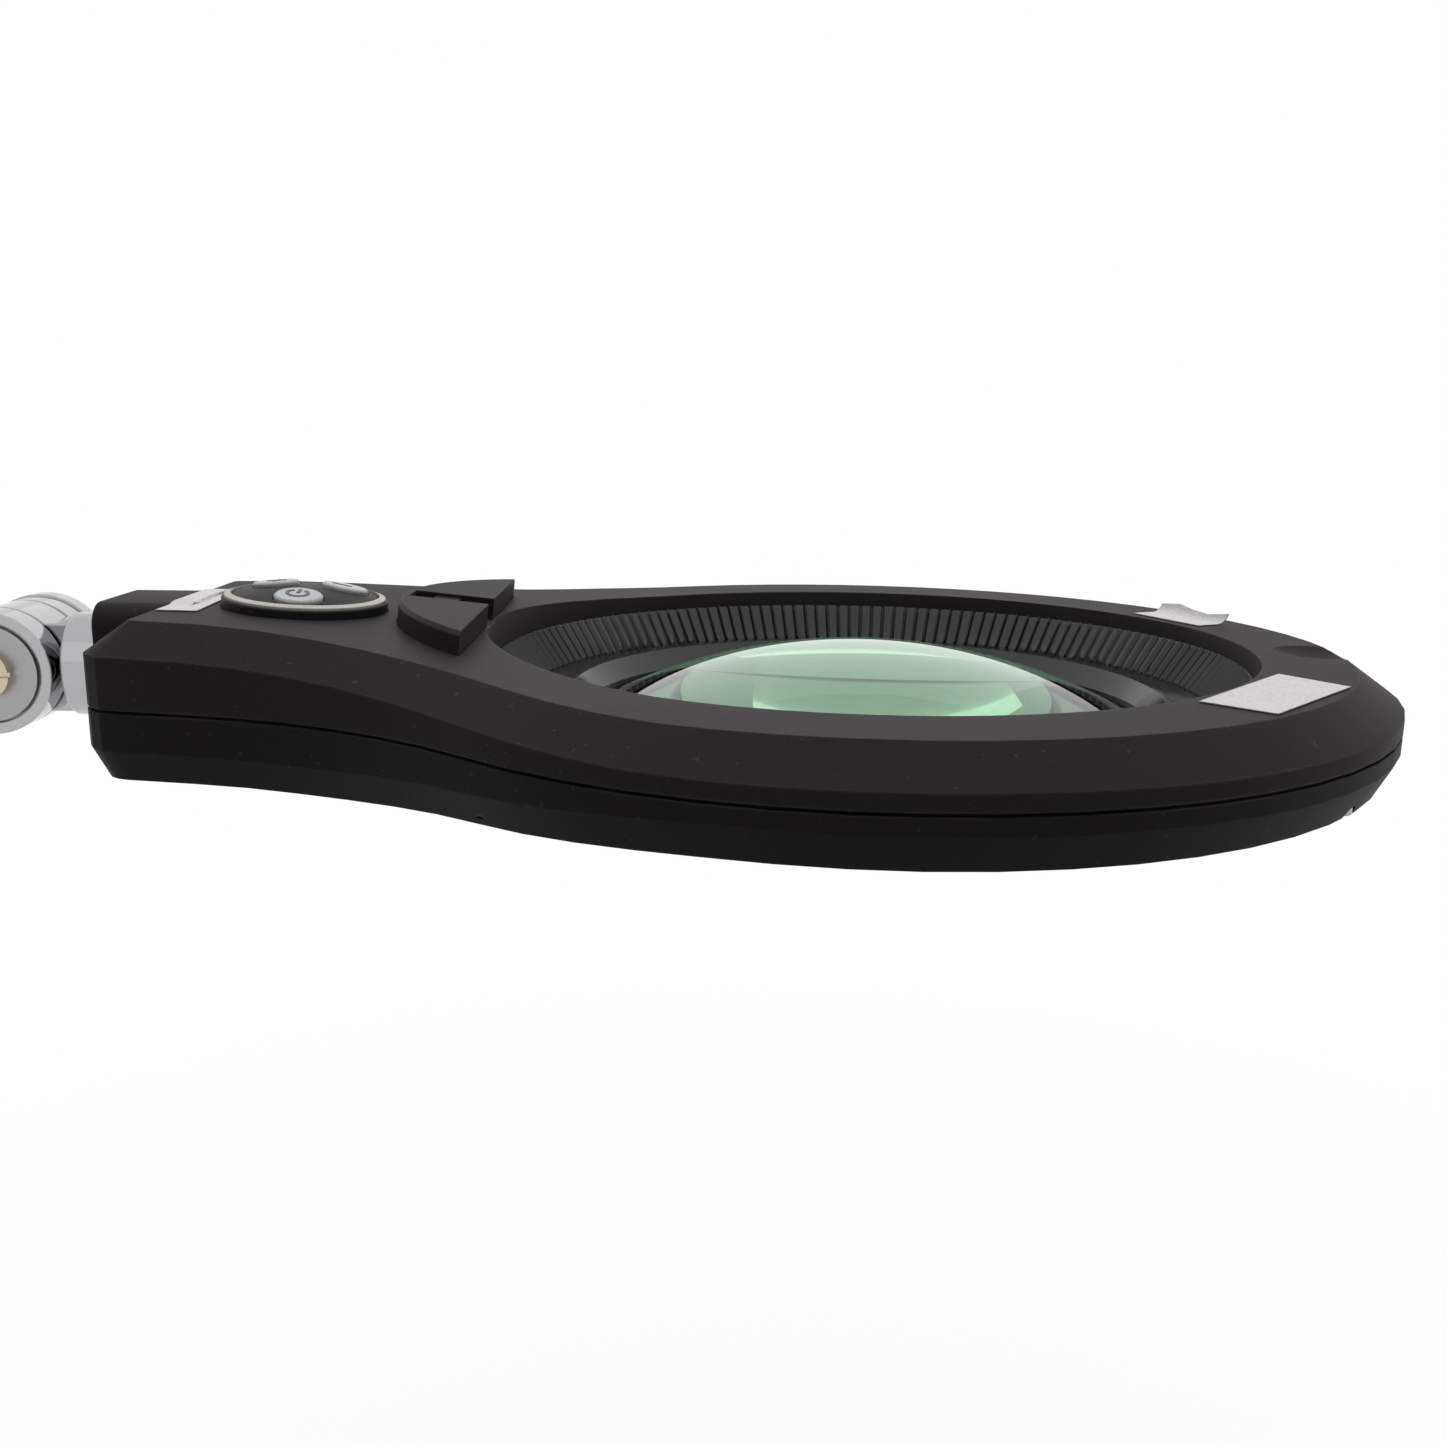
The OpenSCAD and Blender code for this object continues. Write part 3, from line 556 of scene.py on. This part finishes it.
class MAGNIFIER_OT_lens(bpy.types.Operator):
    """Green-tinted lens in its gloss black fluted ring"""
    bl_idname = "magnifier.lens"
    bl_label = "Lens"

    def execute(self, context):
        given = context.scene.magnifier_lens
        low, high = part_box("lens")
        radius = (high.x - low.x) / 2
        radii = [radius * k / LENS_ROWS for k in range(LENS_ROWS + 1)]
        upper = [(r, high.z - sag(given.upper_curve, r)) for r in radii]
        lower = [(r, low.z + sag(given.lower_curve, r)) for r in reversed(radii)]
        profile = upper + lower
        profile[0] = (POLE, profile[0][1])
        profile[-1] = (POLE, profile[-1][1])
        glass = principled("Tinted lens glass", LENS_TINT, 0.0, transmission_weight=1.0, ior=CROWN_IOR)[0]
        points, faces = lathe(profile, given.steps, Vector((LENS.x, LENS.y, 0)))
        made = piece_from("lens_glass", "lens_cartridge", glass, points, faces)
        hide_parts("lens")
        gloss = plated("Gloss black ring", (0.012, 0.012, 0.013, 1.0), 0.16, 0.16,
                       metallic=0.0, rounding=0.2)
        dress("lens_ring", gloss, 25)
        dress("lens_retainer", gloss)
        dress("lens_gasket", principled("Soft black gasket", (0.015, 0.015, 0.015, 1.0), 0.8)[0])
        return {"FINISHED"}


class MAGNIFIER_OT_knuckle(bpy.types.Operator):
    """Chrome knuckle, satin cap and slotted screw"""
    bl_idname = "magnifier.knuckle"
    bl_label = "Knuckle"

    def execute(self, context):
        chrome = plated("Chrome", (0.42, 0.42, 0.43, 1.0), 0.06, 0.08, rounding=0.8)
        for node in ("arm_yoke", "far_cap", "head_stem"):
            dress(node, chrome)
        dress("near_cap", turned("Satin cap", (0.36, 0.355, 0.355, 1.0), 0.34))
        dress("pivot_screw", turned("Warm nickel screw", (0.58, 0.50, 0.37, 1.0), 0.3))
        dress("friction_washers", principled("Friction fibre", (0.03, 0.03, 0.03, 1.0), 0.85)[0])
        dress("stem_bush", moulded("Bearing polymer", (0.025, 0.025, 0.026, 1.0), 0.45, rub_and_highlight=0.0))
        dress("stem_nut", plated("Machined brass", (0.66, 0.50, 0.26, 1.0), 0.22))
        return {"FINISHED"}


class MAGNIFIER_OT_labels(bpy.types.Operator):
    """Blank paper labels: one on the ring, one on the handle and one curling off the far rim"""
    bl_idname = "magnifier.labels"
    bl_label = "Blank labels"

    def flat(self, name, tree, corners, paper, given, cells=18):
        """A label laid on the shell between four corners, given in order."""
        a, b, c, d = [Vector(p) for p in corners]
        lower, upper = [], []
        for i in range(cells + 1):
            for j in range(cells + 1):
                u, v = i / cells, j / cells
                p = a * (1 - u) * (1 - v) + b * u * (1 - v) + c * u * v + d * (1 - u) * v
                hit, normal = drop(tree, p.x, p.y)
                lower.append(hit + normal * given.lift)
                upper.append(hit + normal * (given.lift + given.thick))
        points, faces = plate_between(lower, upper, cells + 1, cells + 1)
        piece_from(name, "head", paper, points, faces)

    def curled(self, tree, start, end, paper, given, rows=14, columns=5):
        """A narrow label between two points whose long free edge has rolled up."""
        start, end = Vector(start), Vector(end)
        along = (end - start).normalized()
        across = Vector((-along.y, along.x))
        lower, upper = [], []
        stuck, sweep = 6.0 * MM, math.radians(72)
        for i in range(rows):
            s = i / (rows - 1)
            for j in range(columns):
                base = start.lerp(end, j / (columns - 1))
                wave = 1.0 + 0.25 * math.sin(j * 1.7)
                turn = max(0.0, s * (stuck / given.curl + sweep) - stuck / given.curl)
                out = min(s * (stuck + sweep * given.curl), stuck) + given.curl * wave * math.sin(turn)
                held = min(out, stuck)
                hit, _ = drop(tree, base.x + across.x * held, base.y + across.y * held)
                rise = given.curl * wave * (1 - math.cos(turn))
                spot = Vector((base.x + across.x * out, base.y + across.y * out, hit.z + rise + given.lift))
                face = Vector((-across.x * math.sin(turn), -across.y * math.sin(turn), math.cos(turn)))
                lower.append(spot)
                upper.append(spot + face * given.thick)
        points, faces = plate_between(lower, upper, rows, columns)
        piece_from("curled_label", "head", paper, points, faces)

    def execute(self, context):
        given = context.scene.magnifier_label
        tree = surface_of("upper_housing")
        paper = moulded("Blank label paper", PAPER, 0.6, 1400.0, cloud=0.12, dust=0.0, rub_and_highlight=0.0, bump=0.15)
        self.flat("ring_label", tree, from_lens(RING_LABEL), paper, given)
        self.flat("handle_label", tree, from_lens(HANDLE_LABEL), paper, given)
        self.curled(tree, *from_lens(CURLED_EDGE), paper, given)
        return {"FINISHED"}


def phosphor_tree(material):
    """Geometry nodes: a flat dot on every lamp chip round the ring."""
    tree, given, result = new_group(
        "Phosphor dots", "GeometryNodeTree",
        [("Count", "NodeSocketInt", 60), ("Ring", "NodeSocketFloat", 0.093),
         ("Dot", "NodeSocketFloat", 0.001), ("Proud", "NodeSocketFloat", 0.0002),
         ("Place", "NodeSocketVector", None)],
        [("Geometry", "NodeSocketGeometry")])
    circle = add(tree, "GeometryNodeMeshCircle", None,
                 {"Vertices": given.outputs["Count"], "Radius": given.outputs["Ring"]})
    dot = add(tree, "GeometryNodeMeshCylinder", None,
              {"Vertices": 16, "Radius": given.outputs["Dot"], "Depth": given.outputs["Proud"]})
    spread = add(tree, "GeometryNodeInstanceOnPoints", None,
                 {"Points": circle.outputs["Mesh"], "Instance": dot.outputs["Mesh"]})
    half_step = add(tree, "ShaderNodeMath", {"operation": "DIVIDE"},
                    {0: math.pi, 1: given.outputs["Count"]})
    spin = add(tree, "ShaderNodeCombineXYZ", None, {"Z": half_step.outputs[0]})
    placed = add(tree, "GeometryNodeTransform", None,
                 {"Geometry": spread.outputs["Instances"], "Translation": given.outputs["Place"],
                  "Rotation": spin.outputs["Vector"]})
    real = add(tree, "GeometryNodeRealizeInstances", None, {"Geometry": placed.outputs["Geometry"]})
    painted = add(tree, "GeometryNodeSetMaterial", None,
                  {"Geometry": real.outputs["Geometry"], "Material": material})
    tree.links.new(painted.outputs["Geometry"], result.inputs["Geometry"])
    return tree


def grown(name, tree, values):
    """The mesh that a geometry node tree makes with the values given by input name."""
    seed = bpy.data.objects.new(name + " seed", bpy.data.meshes.new(name + " seed"))
    bpy.context.scene.collection.objects.link(seed)
    modifier = seed.modifiers.new(name, "NODES")
    modifier.node_group = tree
    for item in tree.interface.items_tree:
        if item.item_type == "SOCKET" and item.in_out == "INPUT":
            modifier[item.identifier] = values[item.name]
    bpy.context.view_layer.update()
    mesh = bpy.data.meshes.new_from_object(seed.evaluated_get(bpy.context.evaluated_depsgraph_get()))
    bpy.data.objects.remove(seed)
    made = bpy.data.objects.new(name, mesh)
    bpy.context.scene.collection.objects.link(made)
    return made


class MAGNIFIER_OT_lamps(bpy.types.Operator):
    """Lamp board, chips with phosphor dots, frosted windows and the driver"""
    bl_idname = "magnifier.lamps"
    bl_label = "Lamps"

    def execute(self, context):
        given = context.scene.magnifier_lamp
        dress("lamp_board", plated("White lamp board", (0.76, 0.76, 0.74, 1.0), 0.35, metallic=0.0))
        dress("lamp_chips", principled("Chip body", (0.74, 0.72, 0.66, 1.0), 0.4)[0])
        frosted = principled("Frosted window", (0.84, 0.85, 0.83, 1.0), 0.45,
                             transmission_weight=0.55, ior=1.49)[0]
        dress("diffuser", frosted)
        green = plated("Green board", (0.025, 0.13, 0.05, 1.0), 0.3, metallic=0.0)
        for node in ("button_board", "driver_board"):
            dress(node, green)
        dress("driver_parts", principled("Component bodies", (0.02, 0.02, 0.02, 1.0), 0.5)[0])
        dress("dome_switches", plated("Switch domes", (0.6, 0.6, 0.6, 1.0), 0.25))
        dress("lamp_lead", principled("Red wire", (0.35, 0.02, 0.02, 1.0), 0.4)[0])
        phosphor = principled("Phosphor", (0.85, 0.60, 0.10, 1.0), 0.6)[0]
        low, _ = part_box("lamp_chips")
        ring = (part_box("lamp_chips")[1].y - low.y) / 2 - 1.6 * MM
        tree = phosphor_tree(phosphor)
        dots = grown("phosphor_dots", tree, {"Count": given.count, "Ring": ring, "Dot": given.dot,
                                             "Proud": given.proud, "Place": (LENS.x, LENS.y, low.z)})
        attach(dots, "head")
        return {"FINISHED"}


def white_for_viewing(tree):
    """1 where a ray comes from the camera, a reflection or a clear body."""
    path = add(tree, "ShaderNodeLightPath")
    seen = math_node(tree, "MAXIMUM", path.outputs["Is Camera Ray"], path.outputs["Is Glossy Ray"])
    return math_node(tree, "MAXIMUM", seen, path.outputs["Is Transmission Ray"])


class MAGNIFIER_OT_stage(bpy.types.Operator):
    """White floor, soft lights and the camera"""
    bl_idname = "magnifier.stage"
    bl_label = "Stage"

    def floor(self, given):
        low, _ = CAD_BOX
        mesh = bpy.data.meshes.new("Floor")
        half = 6.0
        corners = [(-half, -half, 0), (half, -half, 0), (half, half, 0), (-half, half, 0)]
        mesh.from_pydata(corners, [], [(0, 1, 2, 3)])
        floor = bpy.data.objects.new("Floor", mesh)
        floor.location = (LENS.x, 0, low[2] - given.floor)
        material, shader = principled("Pale floor", (0.66, 0.66, 0.66, 1.0), 0.9)
        tree = material.node_tree
        glow = add(tree, "ShaderNodeEmission", None, {"Color": (1, 1, 1, 1), "Strength": 1.0})
        away = add(tree, "ShaderNodeVectorMath", {"operation": "LENGTH"}, {0: object_place(tree)})
        fade = ramp(tree, away.outputs["Value"], 0.15, 0.6, 0.92, 1.0)
        share = math_node(tree, "MULTIPLY", white_for_viewing(tree), fade)
        both = add(tree, "ShaderNodeMixShader", None,
                   {0: share, 1: shader.outputs["BSDF"], 2: glow.outputs["Emission"]})
        tree.links.new(both.outputs["Shader"], tree.nodes["Material Output"].inputs["Surface"])
        mesh.materials.append(material)
        return floor

    def lamp(self, name, power, size, place, target, mirrored=True):
        """A square soft lamp; one that isn't mirrored stays out of reflections."""
        light = bpy.data.lights.new(name, "AREA")
        light.energy, light.size = power, size
        made = bpy.data.objects.new(name, light)
        made.visible_glossy = mirrored
        made.location = place
        made.rotation_euler = (Vector(target) - Vector(place)).to_track_quat("-Z", "Y").to_euler()
        return made

    def world(self):
        world = bpy.data.worlds.new("Studio")
        world.use_nodes = True
        tree = world.node_tree
        plain = tree.nodes["Background"]
        plain.inputs["Color"].default_value = (0.17, 0.17, 0.175, 1.0)
        white = add(tree, "ShaderNodeBackground", None, {"Color": (1, 1, 1, 1), "Strength": 1.0})
        both = add(tree, "ShaderNodeMixShader", None,
                   {0: white_for_viewing(tree), 1: plain.outputs["Background"],
                    2: white.outputs["Background"]})
        tree.links.new(both.outputs["Shader"], tree.nodes["World Output"].inputs["Surface"])
        bpy.context.scene.world = world

    def camera(self, given):
        data = bpy.data.cameras.new("Camera")
        data.sensor_width, data.lens = 36.0, given.lens
        data.clip_start, data.clip_end = 0.01, 20.0
        made = bpy.data.objects.new("Camera", data)
        turn = (Matrix.Rotation(math.radians(-given.yaw), 4, "Z")
                @ Matrix.Rotation(math.radians(90 - given.pitch), 4, "X")
                @ Matrix.Rotation(math.radians(given.roll), 4, "Z"))
        place = Vector((LENS.x - given.aside, -given.back, SEAM + RING_FACE + given.height))
        made.matrix_world = Matrix.Translation(place) @ turn
        return made

    def execute(self, context):
        given = context.scene.magnifier_stage
        target = (LENS.x - 0.08, 0, 0)
        things = [self.floor(given),
                  self.lamp("Top softbox", 19.0, 1.8, (LENS.x - 0.1, 0.3, 1.0), target, mirrored=False),
                  self.lamp("Back softbox", 1.0, 1.2, (LENS.x, 1.3, 0.45), target),
                  self.lamp("Front softbox", 0.3, 0.8, (LENS.x - 0.5, -0.9, 0.6), target),
                  self.lamp("Side softbox", 0.8, 0.7, (LENS.x + 0.9, -0.3, 0.5), target)]
        camera = self.camera(given)
        for thing in things + [camera]:
            context.scene.collection.objects.link(thing)
        self.world()
        context.scene.camera = camera
        context.scene.view_settings.view_transform = "Standard"
        return {"FINISHED"}


class MAGNIFIER_PT_panel(bpy.types.Panel):
    """Settings and buttons for every part of the head"""
    bl_label = "Bench Magnifier Head"
    bl_idname = "MAGNIFIER_PT_panel"
    bl_space_type = "VIEW_3D"
    bl_region_type = "UI"
    bl_category = "Magnifier"

    def draw(self, context):
        for settings, group in SETTINGS.items():
            box = self.layout.box()
            for name in group.__annotations__:
                box.prop(getattr(context.scene, settings), name)
        for operator in OPERATORS:
            self.layout.operator(operator.bl_idname)


SETTINGS = {"magnifier_shell": ShellSettings, "magnifier_lens": LensSettings,
            "magnifier_sign": SignSettings, "magnifier_label": LabelSettings,
            "magnifier_lamp": LampSettings, "magnifier_stage": StageSettings}
OPERATORS = [MAGNIFIER_OT_stage, MAGNIFIER_OT_shells, MAGNIFIER_OT_panel, MAGNIFIER_OT_signs,
             MAGNIFIER_OT_lens, MAGNIFIER_OT_knuckle, MAGNIFIER_OT_labels, MAGNIFIER_OT_lamps]


def register():
    for settings, group in SETTINGS.items():
        bpy.utils.register_class(group)
        setattr(bpy.types.Scene, settings, bpy.props.PointerProperty(type=group))
    for operator in OPERATORS:
        bpy.utils.register_class(operator)
    bpy.utils.register_class(MAGNIFIER_PT_panel)


def unregister():
    bpy.utils.unregister_class(MAGNIFIER_PT_panel)
    for operator in reversed(OPERATORS):
        bpy.utils.unregister_class(operator)
    for settings, group in SETTINGS.items():
        delattr(bpy.types.Scene, settings)
        bpy.utils.unregister_class(group)


def main():
    """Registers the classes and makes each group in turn."""
    register()
    for name in ("stage", "signs", "labels", "lens", "knuckle", "lamps", "panel", "shells"):
        getattr(bpy.ops.magnifier, name)()


if __name__ == "__main__":
    main()
